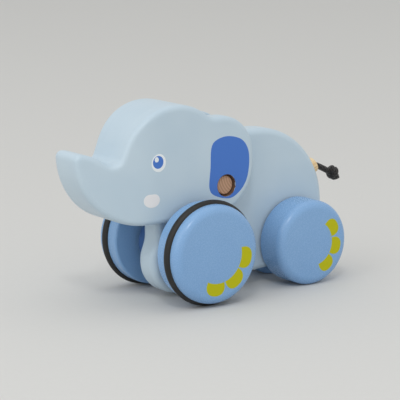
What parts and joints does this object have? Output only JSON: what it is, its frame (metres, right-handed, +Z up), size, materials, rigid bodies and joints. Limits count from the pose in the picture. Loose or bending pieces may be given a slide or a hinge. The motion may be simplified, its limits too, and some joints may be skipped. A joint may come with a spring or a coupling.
{
  "type": "pull along toy",
  "caption": "Painted wooden elephant that rolls on wheels and nods its head, with rubber rings on its front wheels and a knotted cord tail.",
  "frame": {"origin": "on the floor, under the middle of the toy's length and width, with the tail cord left out", "axes": "+X points to the trunk, +Y to the toy's left side, +Z up"},
  "size_m": [0.175, 0.0756, 0.1029],
  "materials": {
    "pale_blue_paint": "satin paint on wood",
    "blue_paint": "satin paint on wood",
    "black_rubber": "satin",
    "bare_wood": "bare hardwood",
    "black_cord": "braided cotton cord"
  },
  "bodies": {
    "body": {"body_plate": "pale_blue_paint", "pivot_dowel": "bare_wood", "tail_plug": "bare_wood", "tail_cord": "black_cord", "tail_knot": "black_cord", "tail_stub": "black_cord", "left_front_washer": "bare_wood", "left_rear_washer": "bare_wood", "right_front_washer": "bare_wood", "right_rear_washer": "bare_wood"},
    "head": {"head_core": "pale_blue_paint", "left_head_cheek": "pale_blue_paint", "right_head_cheek": "pale_blue_paint"},
    "front_wheels": {"front_axle": "bare_wood", "left_front_wheel": "blue_paint", "left_front_tyre": "black_rubber", "left_nod_cam": "bare_wood", "right_front_wheel": "blue_paint", "right_front_tyre": "black_rubber", "right_nod_cam": "bare_wood"},
    "rear_wheels": {"rear_axle": "bare_wood", "left_rear_wheel": "blue_paint", "right_rear_wheel": "blue_paint"}
  },
  "joints": [
    {"name": "head_nod", "type": "hinge", "parent": "body", "child": "head", "pos_m": [-0.00618, 0, 0.0586], "axis": [0, -1, 0], "range_deg": [0, 10]},
    {"name": "front_axle_spin", "type": "hinge", "parent": "body", "child": "front_wheels", "pos_m": [0.01322, 0, 0.0275], "axis": [0, 1, 0], "continuous": true},
    {"name": "rear_axle_spin", "type": "hinge", "parent": "body", "child": "rear_wheels", "pos_m": [-0.05728, 0, 0.0229], "axis": [0, 1, 0], "continuous": true}
  ]
}
